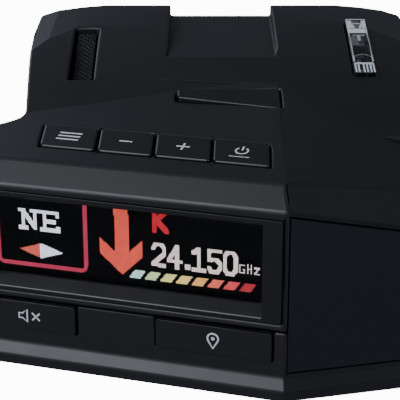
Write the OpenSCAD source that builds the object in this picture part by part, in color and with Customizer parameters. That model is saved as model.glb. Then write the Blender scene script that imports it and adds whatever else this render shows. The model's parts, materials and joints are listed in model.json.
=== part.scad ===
// Windshield radar detector: two-part case, rear display turned to the driver, keys, release button,
// speaker, light-signal lenses, microwave horn and electronics. Millimetres, Z up, front is +Y.

/* [Body] */
// overall length of the case, rear corner to nose
body_l = 112; // [100:1:125]
// case wall thickness
wall = 2.0; // [1.6:0.1:2.6]
// height of the parting line between the two case halves
seam_z = 9.4; // [8:0.2:11]
// height of the two humps either side of the bracket channel
hump_z = 37.1; // [34:0.1:42]
// height of the upright rear face under its slanted band
face_z = 26; // [24:0.5:28]
// height of the rear edge of the key deck
deck_z = 28.6; // [27:0.1:31]
// rise of the key deck per millimetre forward
deck_k = 0.16; // [0.1:0.01:0.2]
// fall of the key deck and of the band toward the driver's side, per millimetre along the display face
tilt_k = 0.008; // [0:0.002:0.03]
// fall of the right-hand deck per millimetre outward
side_k = 0.22; // [0.1:0.01:0.3]

/* [Rear faces] */
// sideways position of the upright edge where the two rear faces meet
apex_x = 7.5; // [4:0.5:12]
// turn of the display face toward the driver, degrees
face_a = 16.1; // [10:0.1:22]
// turn of the short right-hand face, degrees
side_a = 13.2; // [8:0.1:18]
// depth of the display glass behind the brow
glass_in = 1.9; // [1:0.1:3]

/* [Controls] */
// gap around every key
key_gap = 0.2; // [0.15:0.05:0.4]
// travel of the small keys
key_travel = 0.5; // [0.3:0.1:0.8]
// travel of the bracket release button
release_travel = 1.4; // [1:0.1:2]
// width of the bracket channel between the humps
channel_w = 16; // [14:0.5:18]

// floor of the bracket slot
slot_z = 27.6; // [27:0.1:29]

/* [Electronics] */
// top of the main circuit board
board_z = 12.6; // [12:0.2:14]
// thickness of the main circuit board
board_t = 1.2; // [0.8:0.1:1.6]

/* [Hidden] */
$fn = 48;
e = 0.01;
rear_y = -body_l / 2;
nose_y = body_l / 2 + 1.2;
sa = sin(face_a);
ca = cos(face_a);
sb = sin(side_a);
cb = cos(side_a);

// ---- plan outline helpers ----
function unit(v) = v / norm(v);
function inward(a, b) = let (d = unit(b - a)) [-d[1], d[0]];
function inset(p, o) = let (n = len(p)) [for (i = [0:n - 1])
  let (n1 = inward(p[(i + n - 1) % n], p[i]), n2 = inward(p[i], p[(i + 1) % n]))
  p[i] + o * (n1 + n2) / (1 + n1 * n2)];
function soft(p, t, k = 5) = let (n = len(p)) [for (i = [0:n - 1])
  let (a = p[i] + unit(p[(i + n - 1) % n] - p[i]) * t[i], b = p[i] + unit(p[(i + 1) % n] - p[i]) * t[i])
  for (j = [0:(t[i] > 0 ? k : 0)]) let (s = j / k) a * (1 - s) * (1 - s) + p[i] * 2 * s * (1 - s) + b * s * s];
function outline() = [[apex_x, rear_y], [38, rear_y + (38 - apex_x) * sb / cb], [37.4, -36.6], [27.5, -30.8],
  [29.4, 2], [27.4, nose_y], [-27.4, nose_y], [-29.4, 2], [-27.5, -30.8], [-37.4, -35.8],
  [-38, rear_y + (38 + apex_x) * sa / ca]];
function corner() = [0, 3.6, 3.4, 2.2, 8, 12, 12, 8, 2.2, 2.0, 2.0];
module plan(o) polygon(soft(inset(outline(), o), corner()));

// half-space on the n side of the plane through p
module above(p, n) {
  u = unit(n);
  translate(p) rotate([0, acos(u[2]), atan2(u[1], u[0])]) translate([-150, -150, 0]) cube([300, 300, 150]);
}
// frames of the two rear faces: x along the face, y inward, z up
module at_face() translate([apex_x, rear_y, 0]) rotate([0, 0, -face_a]) children();
module at_side() translate([apex_x, rear_y, 0]) rotate([0, 0, side_a]) children();

deck_g = [deck_k * sa + tilt_k * ca, deck_k * ca - tilt_k * sa];
deck_n = unit([-deck_g[0], -deck_g[1], 1]);
crease_p = [apex_x, rear_y + 3.1, deck_z];
side_n = unit([side_k, -deck_k * ca, 1]);
side_p = [apex_x, rear_y + 3.1, deck_z];
function deck_at(x, y) = deck_z + deck_g[0] * (x - crease_p[0]) + deck_g[1] * (y - crease_p[1]);

// side profiles (y, z) of the hump, the channel between the humps and the nose
function hump_pts(o) = [[-34.5, 28.2 - o], [-27.6, 31.2 - o], [-24.8, 32.2 - o], [-22, 33.1 - o], [-18, 34.2 - o],
  [-14, 35.1 - o], [-10, 35.85 - o], [-6, 36.45 - o], [-1, 36.95 - o], [3, hump_z - o], [6 - o * 0.9, 36.6 - o],
  [9.4 - o, 28.6 - o], [9.4 - o, -1], [-34.5, -1]];
function nose_pts(o) = [[4, -1], [4, 28.9 - o], [24, 27.5 - o], [36, 26.2 - o], [44, 24.8 - o],
  [50, 23.1 - o], [54 - o * 0.2, 21.2 - o], [nose_y + 1, 17.4 - o], [nose_y + 1, -1]];
function crown_pts(o) = [[-29.8 + o, -1], [-29.8 + o, 33.0 - o], [-28.9 + o * 0.9, 34.7 - o], [-26, 35.7 - o],
  [-22, 36.3 - o], [-16, 36.8 - o], [-8, hump_z - o], [8, hump_z - o], [16, 36.8 - o], [22, 36.3 - o],
  [26, 35.7 - o], [28.9 - o * 0.9, 34.7 - o], [29.8 - o, 33.0 - o], [29.8 - o, -1]];
module along_x(p, w = 80) rotate([90, 0, 90]) translate([0, 0, -w / 2]) linear_extrude(height = w) polygon(p);
module along_y(p, w = 160) rotate([90, 0, 0]) translate([0, 0, -w / 2]) linear_extrude(height = w) polygon(p);

// whole body solid, shrunk by o
module body(o) {
  difference() {
    intersection() {
      translate([0, 0, o]) linear_extrude(height = 45) plan(o);
      union() {
        difference() {
          translate([-50, -70, -1]) cube([100, 46.3 - o * 0.5, 45]);
          above(crease_p - deck_n * o, deck_n);
          above(side_p - side_n * o, side_n);
        }
        intersection() {
          along_x(hump_pts(o));
          along_y(crown_pts(o));
        }
        along_x(nose_pts(o));
      }
    }
    at_face() above([0, o, face_z], [-tilt_k * 3.1, face_z - deck_z, 3.1]);
    at_side() above([0, o, face_z], [side_k * 3.1, face_z - deck_z, 3.1]);
  }
}
// channel between the humps, open to the front
module channel(o = 0) {
  translate([-channel_w / 2 + o, 0, 0]) along_channel(channel_w - 2 * o);
}
module along_channel(w) rotate([90, 0, 90]) linear_extrude(height = w)
  polygon([[-20.5, 34.45], [4, 34.75], [12, 34.75], [12, 44], [-20.5, 44]]);

// protruding lower lip that runs round the two rear faces
module lip() {
  difference() {
    intersection() {
      linear_extrude(height = 3) plan(-1.2);
      translate([-50, -70, 0]) cube([100, 36, 5]);
    }
    at_face() above([0, -1.2, 1.5], [0, -1.5, 1.2]);
    at_side() above([0, -1.2, 1.5], [0, -1.5, 1.2]);
  }
}

module cavity() {
  difference() {
    body(wall);
    // thick pads left in the case behind the rear faces and around the bracket channel
    translate([-channel_w / 2 - 1.4, -20.5, 0]) cube([channel_w + 2.8, 40, 60]);
  }
  translate([-channel_w / 2 - 2, -23, wall]) cube([channel_w + 4, 28, slot_z - 2.2 - wall]);
  translate([-channel_w / 2 - 2, 4, wall]) cube([channel_w + 4, 16, slot_z - 3 - wall]);
}

// ---- key footprints on the deck ----
near_y = -48.6;
far_y = -42.3;
key_x = [5.8, -1.8, -9.4, -17.0, -24.8];
function key_poly(i, g) = let (a = key_x[i] - g, b = key_x[i + 1] + g, s = sa / ca)
  [[a, near_y + (apex_x - 1.7 - a) * s + g], [a + 0.2, far_y + (apex_x - 1.7 - a) * s - g],
   [b + 0.2, far_y + (apex_x - 1.7 - b) * s - g], [b, near_y + (apex_x - 1.7 - b) * s + g]];
function key_flange(i) = let (a = key_x[i] - key_gap, b = key_x[i + 1] + key_gap, s = sa / ca)
  [[a, near_y + (apex_x - 1.7 - a) * s - 0.7], [a + 0.2, far_y + (apex_x - 1.7 - a) * s + 0.7],
   [b + 0.2, far_y + (apex_x - 1.7 - b) * s + 0.7], [b, near_y + (apex_x - 1.7 - b) * s - 0.7]];
module key_prism(i, g, z0, z1) translate([0, 0, z0]) linear_extrude(height = z1 - z0)
  polygon(soft(key_poly(i, g), [0.5, 0.5, 0.5, 0.5], 3));
module key_cap(i) {
  difference() {
    union() {
      key_prism(i, key_gap, 24.6, 36);
      translate([0, 0, 24.6]) linear_extrude(height = 1.0) polygon(key_flange(i));
    }
    above(crease_p + deck_n * 0.2, deck_n);
    key_prism(i, key_gap + 1.1, 24, 27.2);
  }
  c = (key_x[i] + key_x[i + 1]) / 2;
  translate([c, key_cy(i), 24.4]) cylinder(d = 2.4, h = 4);
}
function key_cy(i) = (near_y + far_y) / 2 + (apex_x - 1.7 - (key_x[i] + key_x[i + 1]) / 2) * sa / ca;

module screw_boss(p, h0, h1, d = 6) translate([p[0], p[1], h0]) cylinder(d = d, h = h1 - h0);
cover_pts = [[-23.4, 45], [23.4, 45], [-22.6, -26.8], [22.6, -26.8]];
board_pts = [[-23.4, -1], [23, -19.5], [-23.6, 14], [23.6, 14]];

// ---- case ----
module top_cover() color([0.11, 0.11, 0.13]) difference() {
  union() {
    difference() {
      body(0);
      cavity();
    }
    for (p = cover_pts) intersection() {
      screw_boss(p, seam_z + 0.2, 34, 6.4);
      body(0.5);
    }
    // posts the deck board hangs from
    for (p = [[-28, -37.4], [7.6, -40.4]]) intersection() {
      screw_boss(p, 22.05, 34, 2.8);
      body(0.5);
    }
  }
  translate([-60, -80, -1]) cube([120, 160, seam_z + 1.1]);
  channel();
  for (p = cover_pts) translate([p[0], p[1], seam_z - 1]) cylinder(d = 2.26, h = 11);
  // display opening with its brow, and the side panel recess
  at_face() translate([-42.2, -2, 10.4]) cube([40.2, 9, 14.45]);
  at_face() translate([-3, -2, 10.4]) cube([2.6, 2.6, 14.45]);
  at_side() difference() {
    translate([0.4, -3, 3.4]) cube([28.7, 3.7, 30]);
    above([0.9, 0, face_z - 0.7], [side_k, 0, 1]);
  }
  // key openings
  for (i = [0:3]) key_prism(i, 0, 20, 40);
  // release button opening
  release_hole();
  // bracket slot, open to the front, with the latch window in its floor
  slot_space(0.9);
  translate([-5.6, -17.0, slot_z - 4]) cube([11.2, 5.2, 6]);
  // speaker grille recess and throat
  translate([-22.2, -22.6, 29.6]) cube([3.6, 15.7, 14]);
  translate([-21.8, -22.1, 24]) cube([2.8, 13.6, 14]);
  // rear light-signal lens seat
  translate([18.8, -21.7, 24]) cube([3.4, 16.4, 20]);
  // front light-signal lens opening
  translate([-19.2, 50, 13.4]) cube([12.4, 20, 5.0]);
  // side openings for the sockets
  translate([-40, -15.8, board_z - 0.2]) cube([15, 10.4, 8.4]);
  translate([-40, 3.9, board_z - 0.2]) cube([16, 8.2, 3.4]);
  translate([20, -6, board_z + 3]) rotate([0, 90, 0]) cylinder(d = 6.4, h = 20);
}

module bottom_cover() color([0.10, 0.10, 0.12]) difference() {
  union() {
    difference() {
      body(0);
      body(wall);
      translate([-60, -80, seam_z - 0.1]) cube([120, 160, 60]);
    }
    lip_shell();
    // bosses for the cover screws and the board
    for (p = cover_pts) intersection() {
      screw_boss(p, 0.5, seam_z + 0.1, 7);
      body(0.3);
    }
    for (p = board_pts) screw_boss(p, wall - 0.2, board_z - board_t, 5);
  }
  for (p = cover_pts) translate([p[0], p[1], -1]) {
    cylinder(d = 2.7, h = 20);
    cylinder(d = 4.8, h = 4.2);
  }
  for (p = board_pts) translate([p[0], p[1], 3.5]) cylinder(d = 2.0, h = 20);
  // rear key openings
  at_face() translate([-41.6, -3, 5.0]) cube([13.4, 9, 10]);
  at_face() translate([-17.4, -3, 5.0]) cube([16.0, 9, 10]);
  // lower part of the side panel recess
  at_side() translate([0.4, -0.5, 3.4]) cube([28.7, 1.2, 30]);
  // underside label recess
  translate([-17, -20.5, -1]) cube([34, 45, 1.4]);
}
module lip_shell() difference() {
  lip();
  translate([0, 0, 1]) linear_extrude(height = 5) plan(1.0);
}

// ---- display group ----
module display_bezel() color([0.07, 0.07, 0.08]) at_face() difference() {
  union() {
    translate([-42.1, 0, 10.5]) cube([40, glass_in + 1.0, 14.25]);
    translate([-42.6, wall + 0.1, 10.0]) cube([41.2, 0.8, 14.9]);
    translate([-3, 0, 10.5]) cube([2.5, 0.5, 14.25]);
  }
  translate([-41.1, -1, 12.4]) cube([38, 8, 11.6]);
  // sloping sill under the glass
  translate([-41.1, 0, 0]) rotate([90, 0, 90]) linear_extrude(height = 38)
    polygon([[-1, 10.7], [0, 11.1], [glass_in, 12.45], [glass_in + 1.2, 14], [-1, 14]]);
  // seat of the glass
  translate([-41.7, glass_in, 11.7]) cube([39.2, 8, 12.8]);
}
module display_window() color([0.02, 0.02, 0.03, 0.6]) at_face()
  translate([-41.6, glass_in + 0.05, 11.8]) cube([39, 0.8, 12.6]);
module display_module() color([0.05, 0.06, 0.07]) at_face() {
  translate([-42.0, glass_in + 1.1, 11.2]) cube([39.9, 1.6, 13.5]);
}
module display_board() color([0.05, 0.22, 0.12]) at_face()
  translate([-42.0, glass_in + 2.8, 9.8]) cube([39.9, 1.0, 14.9]);
module display_ribbon() color([0.75, 0.45, 0.15]) at_face() translate([-30, 0, 0]) {
  translate([0, glass_in + 3.9, 11.4]) cube([14, 0.3, 5]);
  translate([0, glass_in + 3.9, 11.4 + 4.7]) cube([14, 3.4, 0.3]);
  translate([0, glass_in + 7.0, board_z + 0.1]) cube([14, 0.3, 16.4 - board_z - 0.1]);
}
module side_panel() color([0.05, 0.06, 0.07]) intersection() {
  at_side() difference() {
    translate([0.5, 0.05, 3.6]) cube([28.5, 0.6, 30]);
    above([0.9, 0, face_z - 0.85], [side_k, 0, 1]);
  }
  body(0);
}

// ---- keys ----
module menu_button() color([0.13, 0.13, 0.15]) key_cap(3);
module minus_button() color([0.13, 0.13, 0.15]) key_cap(2);
module plus_button() color([0.13, 0.13, 0.15]) key_cap(1);
module power_button() color([0.13, 0.13, 0.15]) key_cap(0);
module rear_key(x0, w) at_face() {
  translate([x0, -0.35, 5.2]) cube([w, 2.0, 4.0]);
  translate([x0 - 0.7 + 0.05, 2.2, 5.2 - 0.6]) cube([w + 1.3, 0.8, 4.7]);
  translate([x0 + 0.6, 1.6, 5.4]) cube([w - 1.2, 0.7, 3.4]);
  translate([x0 + w / 2, 2.9, 7.0]) rotate([-90, 0, 0]) cylinder(d = 2.2, h = 1.0);
}
module mute_button() color([0.13, 0.13, 0.15]) rear_key(-41.4, 13.0);
module mark_button() color([0.13, 0.13, 0.15]) rear_key(-17.2, 15.6);

// ---- bracket release ----
rel_x = 14.8;
module rel_prism(g, z0, z1) translate([0, 0, z0]) linear_extrude(height = z1 - z0)
  polygon(soft([[0.7 + rel_x / 2 - g, -32.0 + g], [0.7 + rel_x / 2 - g, -25.8 - g],
    [0.7 - rel_x / 2 + g, -25.8 - g], [0.7 - rel_x / 2 + g, -28.7 + g]], [0.5, 0.5, 0.5, 0.5], 3));
module release_hole() rel_prism(0, 20, 45);
module release_button() color([0.13, 0.13, 0.15]) {
  difference() {
    union() {
      rel_prism(key_gap + 0.05, 26.2, 45);
      rel_prism(-0.6, 25.8, 26.4);
    }
    above([0, -28, deck_at(0, -28) + 0.3], unit([0, -0.17, 1]));
  }
  translate([0.6, -27.9, 23.8]) cylinder(d = 4.4, h = 2.1);
}
// latch arm carried under the button, with the tooth that holds the bracket
module release_latch() color([0.75, 0.75, 0.77]) {
  translate([-5, -30.4, slot_z - 4.8]) cube([10, 16.4, 0.9]);
  translate([-5, -15.0, slot_z - 4.8]) cube([10, 1.0, 4.6]);
  translate([-4, -15.0, slot_z - 0.3]) rotate([90, 0, 90]) linear_extrude(height = 8)
    polygon([[0, 0], [1.0, 0], [2.4, 0.35], [0, 1.6]]);
  
}
module coil(r, w, turns, h) {
  for (i = [0:turns - 1]) translate([0, 0, w / 2 + i * (h - w) / (turns - 1)])
    rotate_extrude($fn = 32) translate([r, 0]) circle(d = w, $fn = 10);
  for (i = [0:turns - 2]) rotate([0, 0, i * 40]) translate([r, 0, w / 2 + i * (h - w) / (turns - 1)])
    cylinder(d = w * 0.8, h = (h - w) / (turns - 1), $fn = 10);
}
module release_spring() color([0.7, 0.7, 0.72]) translate([0.6, -27.9, 17.8]) coil(2.2, 0.5, 5, 4.9);
module slot_space(g) translate([-7.6 - g, -17 - g, slot_z - g]) cube([15.2 + 2 * g, 40, 4.4 + 2 * g]);
module bracket_socket() color([0.16, 0.16, 0.18]) difference() {
  translate([-8.4, -17.8, slot_z - 0.8]) cube([16.8, 26.4, 6.0]);
  translate([-7.6, -17, slot_z]) cube([15.2, 40, 4.4]);
  translate([-5.5, -17.0, slot_z - 2]) cube([11, 5.2, 3]);
}

// ---- sound ----
module speaker_grille() color([0.08, 0.08, 0.09]) difference() {
  translate([-21.75, -22.2, 30.2]) grille_plate();
  for (i = [0:5]) translate([-21.45, -21.5 + i * 2.15, 28]) cube([2.1, 1.1, 20]);
}
module grille_plate() difference() {
  cube([2.7, 14.6, 8]);
  above([0, 0, 0.9], [0, -0.29, 1]);
  translate([-1, 0, 0]) rotate([90, 0, 90]) linear_extrude(height = 8) polygon([[-1, -4], [15.4, -4], [15.4, 3.4], [-1, -1.35]]);
}
spk = [-17.7, -14];
module speaker_frame() color([0.2, 0.2, 0.22]) translate([spk[0], spk[1], 24.2]) difference() {
  cylinder(d = 16.4, h = 3.4);
  translate([0, 0, 1.0]) cylinder(d = 14.8, h = 4);
  translate([0, 0, -1]) cylinder(d = 9.4, h = 4);
}
module speaker_cone() color([0.1, 0.1, 0.1]) translate([spk[0], spk[1], 25.4]) rotate_extrude()
  polygon([[0, 1.3], [3, 1.3], [4.2, 0.1], [5.6, 0.5], [6.4, 1.3], [7.3, 0.7], [7.3, 0.9], [6.4, 1.55],
    [5.5, 0.75], [4.25, 0.35], [3.1, 1.55], [0, 1.55]]);
module speaker_magnet() color([0.6, 0.6, 0.62]) translate([spk[0], spk[1], 21.6]) cylinder(d = 9.2, h = 3.4);
module speaker_clamp() color([0.14, 0.14, 0.16]) translate([spk[0], spk[1], 27.7]) difference() {
  cylinder(d = 16.4, h = 1.0);
  translate([0, 0, -1]) cylinder(d = 14.2, h = 4);
}

// ---- light-signal receivers ----
module rear_laser_lens() color([0.8, 0.82, 0.85, 0.5]) difference() {
  union() {
    // the upper face stands a little proud of the hump
    translate([18.9, 0, 0]) rotate([90, 0, 90]) linear_extrude(height = 3.2)
      polygon([[-21.6, 29.6], [-21.6, 33.75], [-14, 35.6], [-5.4, 37.0], [-5.4, 29.6]]);
    translate([18.2, -22.3, 29.0]) cube([4.6, 17.6, 0.9]);
  }
  translate([19.5, -20.9, 28]) cube([2.0, 14.8, 4.4]);
}
module rear_laser_sensor() color([0.1, 0.1, 0.14]) {
  translate([17.4, -19, 23.6]) cube([6.2, 9, 1.0]);
  translate([20.5, -14.5, 24.4]) cylinder(d = 4.4, h = 2.2);
  translate([20.5, -14.5, 26.6]) sphere(d = 4.2, $fn = 28);
}
module front_laser_lens() color([0.25, 0.02, 0.03, 0.7]) intersection() {
  union() {
    translate([-19.1, 44.5, 13.5]) cube([12.2, 20, 4.8]);
    intersection() {
      translate([-19.9, 44.5, 12.9]) cube([13.8, 10.1, 6.0]);
      body(wall + 0.06);
    }
  }
  translate([-30, 53.6, 0]) cube([30, 10, 40]);
  body(0.1);
}
module front_laser_sensor() color([0.1, 0.1, 0.14]) {
  translate([-17, 45.5, board_z]) cube([8, 2.2, 7.4]);
  translate([-13, 47.6, board_z + 4]) rotate([-90, 0, 0]) cylinder(d = 5, h = 1.6);
  translate([-13, 49.0, board_z + 4]) sphere(d = 4.6, $fn = 28);
}

// ---- boards and electronics ----
module main_board() color([0.04, 0.25, 0.13]) difference() {
  translate([0, 0, board_z - board_t]) linear_extrude(height = board_t)
    polygon([[-25.8, 36], [-26.0, -18], [-23.6, -30], [-25, -36.4], [2.1, -45.6], [24, -43],
      [24.6, -36], [23.6, -30], [26.0, -18], [25.8, 36], [22, 51.5], [-22, 51.5]]);
  for (p = cover_pts) translate([p[0], p[1], 0]) cylinder(d = 7.8, h = 30);
  for (p = board_pts) translate([p[0], p[1], 0]) cylinder(d = 2.2, h = 30);
}
module microwave_horn() color([0.78, 0.78, 0.8]) difference() {
  translate([-5.6, 11, board_z]) cube([25.4, 32.4, 9.4]);
  translate([-4.4, 30, board_z + 1.2]) rotate([90, 0, 90]) linear_extrude(height = 23)
    polygon([[-1, 2.2], [15, 0], [15, 7.2], [-1, 5.2]]);
  translate([-2, 12.2, board_z + 1.2]) cube([18, 17, 11]);
}
module horn_lid() color([0.72, 0.72, 0.74]) translate([-5.6, 11, board_z + 9.45]) cube([25.4, 19.6, 0.8]);
module rf_shield() color([0.8, 0.8, 0.82]) difference() {
  translate([-6, -17, board_z]) cube([22, 26, 4.4]);
  translate([-5.6, -16.6, board_z - 1]) cube([21.2, 25.2, 5.0]);
}
module gps_antenna() color([0.75, 0.66, 0.5]) {
  translate([-23.5, 20.5, board_z]) cube([16, 16, 1.0]);
  translate([-23, 21, board_z + 1]) cube([15, 15, 4]);
  translate([-15.8, 28.5, board_z + 5]) cylinder(d = 1.6, h = 0.3);
}
module processor_chip() color([0.08, 0.08, 0.09]) translate([-18, -35, board_z]) cube([10, 10, 1.2]);
module board_chips() color([0.1, 0.1, 0.11]) {
  translate([5.5, -37, board_z]) cube([6, 5, 1.0]);
  translate([13, -39, board_z]) cube([5, 4, 1.0]);
  translate([-18, 6, board_z]) cube([7, 7, 1.1]);
  translate([-16, 15, board_z]) cube([6, 4, 1.6]);
  translate([14, -32, board_z]) cube([4, 4, 2.4]);
  translate([-12, -21, board_z]) cylinder(d = 6.3, h = 5.6);
}
module power_socket() color([0.14, 0.14, 0.15]) difference() {
  translate([-28.8, -15.6, board_z]) cube([14, 10, 8]);
  translate([-30, -14.4, board_z + 1.4]) cube([12, 7.6, 4.6]);
  translate([-30, -12.0, board_z + 5]) cube([12, 2.8, 1.9]);
}
module audio_jack() color([0.14, 0.14, 0.15]) difference() {
  union() {
    translate([16.3, -9.2, board_z]) cube([10.2, 6.4, 6]);
    translate([26.4, -6, board_z + 3]) rotate([0, 90, 0]) cylinder(d = 6.0, h = 2.4);
  }
  translate([17.4, -6, board_z + 3]) rotate([0, 90, 0]) cylinder(d = 3.6, h = 14);
}
module update_socket() color([0.75, 0.75, 0.77]) difference() {
  translate([-28.9, 4.2, board_z]) cube([6, 7.6, 2.9]);
  translate([-30, 4.7, board_z + 0.5]) cube([5.6, 6.6, 1.9]);
}
// small board under the deck keys with its switches
module tilted(p = 0) translate([0, 0, p]) children();
module key_board() color([0.04, 0.25, 0.13]) difference() {
  translate([0, 0, 21.0]) linear_extrude(height = 1.0)
    polygon([[6.3, -49.0], [9.2, -45], [9.2, -38.8], [-17, -33.6], [-20, -35.2], [-28.4, -35.2], [-28.4, -39.2]]);
}
module key_board_ribbon() color([0.75, 0.45, 0.15]) {
  translate([-6, -37.6, 20.6]) cube([6, 5, 0.3]);
  translate([-6, -32.9, board_z + 0.1]) cube([6, 0.3, 8.3]);
}
module deck_switches() color([0.55, 0.55, 0.57]) for (i = [0:3])
  translate([(key_x[i] + key_x[i + 1]) / 2, key_cy(i), 22.0]) {
    translate([-2.2, -1.7, 0]) cube([4.4, 3.4, 1.2]);
    cylinder(d = 1.8, h = 1.7);
  }
module rear_switches() color([0.55, 0.55, 0.57]) at_face() for (x = [-34.9, -9.4]) translate([x, 4.75, 7.0]) {
  translate([-2.2, 0, -1.7]) cube([4.4, 0.9, 3.4]);
  translate([0, 0.1, 0]) rotate([90, 0, 0]) cylinder(d = 1.8, h = 0.25);
}
module switch_board() color([0.04, 0.25, 0.13]) at_face()
  translate([-39.5, 5.7, 2.05]) cube([37.4, 1.0, 7.1]);

// ---- fixings and small parts ----
module screw(d, h, dh, hh) {
  difference() {
    cylinder(d = dh, h = hh);
    translate([0, 0, -e]) cylinder(d = dh * 0.45, h = hh * 0.6, $fn = 6);
  }
  translate([0, 0, hh - e]) cylinder(d = d, h = h);
}
module cover_screws() color([0.3, 0.3, 0.32]) for (p = cover_pts)
  translate([p[0], p[1], 1.6]) screw(2.2, 13, 4.2, 1.6);
module board_screws() color([0.7, 0.7, 0.72]) for (p = board_pts)
  translate([p[0], p[1], board_z + 1.3]) rotate([180, 0, 0]) screw(1.9, 6, 3.6, 1.3);
module underside_label() color([0.6, 0.6, 0.6]) translate([-16.8, -20.3, 0.1]) cube([33.6, 44.6, 0.3]);
// seat under the release spring
module release_guide() color([0.16, 0.16, 0.18]) translate([0.6, -27.9, board_z]) {
  cylinder(d = 6.8, h = 17.75 - board_z);
  cylinder(d = 3.2, h = 19.2 - board_z);
}
module sensor_board() color([0.04, 0.25, 0.13]) translate([16.6, -21, 22.6]) cube([7.8, 13, 0.95]);

top_cover();
bottom_cover();
display_bezel();
display_window();
display_module();
display_board();
display_ribbon();
side_panel();
menu_button();
minus_button();
plus_button();
power_button();
mute_button();
mark_button();
release_button();
release_latch();
release_spring();
bracket_socket();
speaker_grille();
speaker_frame();
speaker_cone();
speaker_magnet();
speaker_clamp();
rear_laser_lens();
rear_laser_sensor();
front_laser_lens();
front_laser_sensor();
main_board();
microwave_horn();
horn_lid();
rf_shield();
gps_antenna();
processor_chip();
board_chips();
power_socket();
audio_jack();
update_socket();
key_board();
key_board_ribbon();
deck_switches();
rear_switches();
switch_board();
cover_screws();
board_screws();
underside_label();
release_guide();
sensor_board();
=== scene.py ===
"""Looks of a windshield radar detector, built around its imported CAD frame.

Every length in this file is in metres in the frame's own axes: +Z up, the nose of
the detector toward +Y, the driver on the -Y side. Sizes given in millimetres are
multiplied by MM. Sub-assemblies are classes that build their pieces and dress them,
finishes are small frozen dataclasses that make one material each.
"""

import json
import logging
import math
from dataclasses import dataclass
from enum import Enum

import bmesh
import bpy
import numpy as np
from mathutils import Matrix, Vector

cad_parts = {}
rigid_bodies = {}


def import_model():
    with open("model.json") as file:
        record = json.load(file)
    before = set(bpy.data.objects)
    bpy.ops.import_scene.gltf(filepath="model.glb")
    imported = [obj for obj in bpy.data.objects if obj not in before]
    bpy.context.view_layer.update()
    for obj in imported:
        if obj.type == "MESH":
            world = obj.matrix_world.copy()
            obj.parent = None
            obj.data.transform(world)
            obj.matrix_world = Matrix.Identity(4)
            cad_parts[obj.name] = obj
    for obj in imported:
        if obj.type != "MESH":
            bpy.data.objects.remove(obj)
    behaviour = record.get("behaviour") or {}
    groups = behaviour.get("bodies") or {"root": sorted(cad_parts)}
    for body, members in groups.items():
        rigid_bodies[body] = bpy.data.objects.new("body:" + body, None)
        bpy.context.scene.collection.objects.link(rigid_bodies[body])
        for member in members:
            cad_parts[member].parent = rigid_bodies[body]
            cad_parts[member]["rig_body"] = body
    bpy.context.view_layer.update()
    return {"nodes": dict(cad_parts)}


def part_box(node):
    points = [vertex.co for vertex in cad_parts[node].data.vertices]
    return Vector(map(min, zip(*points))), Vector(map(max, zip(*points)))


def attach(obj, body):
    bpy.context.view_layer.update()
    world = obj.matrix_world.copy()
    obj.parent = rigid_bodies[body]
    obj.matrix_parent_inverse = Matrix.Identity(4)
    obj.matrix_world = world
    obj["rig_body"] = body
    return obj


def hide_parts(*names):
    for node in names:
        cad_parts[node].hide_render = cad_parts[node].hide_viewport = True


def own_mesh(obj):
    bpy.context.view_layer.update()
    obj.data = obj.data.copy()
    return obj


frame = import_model()

LOG = logging.getLogger("detector")
MM = 0.001
Colour = tuple[float, float, float]


class Edge(Enum):
    """How strongly a moulded or cut edge is broken, as a bevel width in metres."""

    CRISP = 0.06 * MM
    PANEL = 0.10 * MM
    LENS = 0.12 * MM
    FRAME = 0.14 * MM
    NOSE_LENS = 0.15 * MM
    KEY = 0.22 * MM
    LOWER_CASE = 0.272 * MM
    CASE = 0.34 * MM


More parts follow.
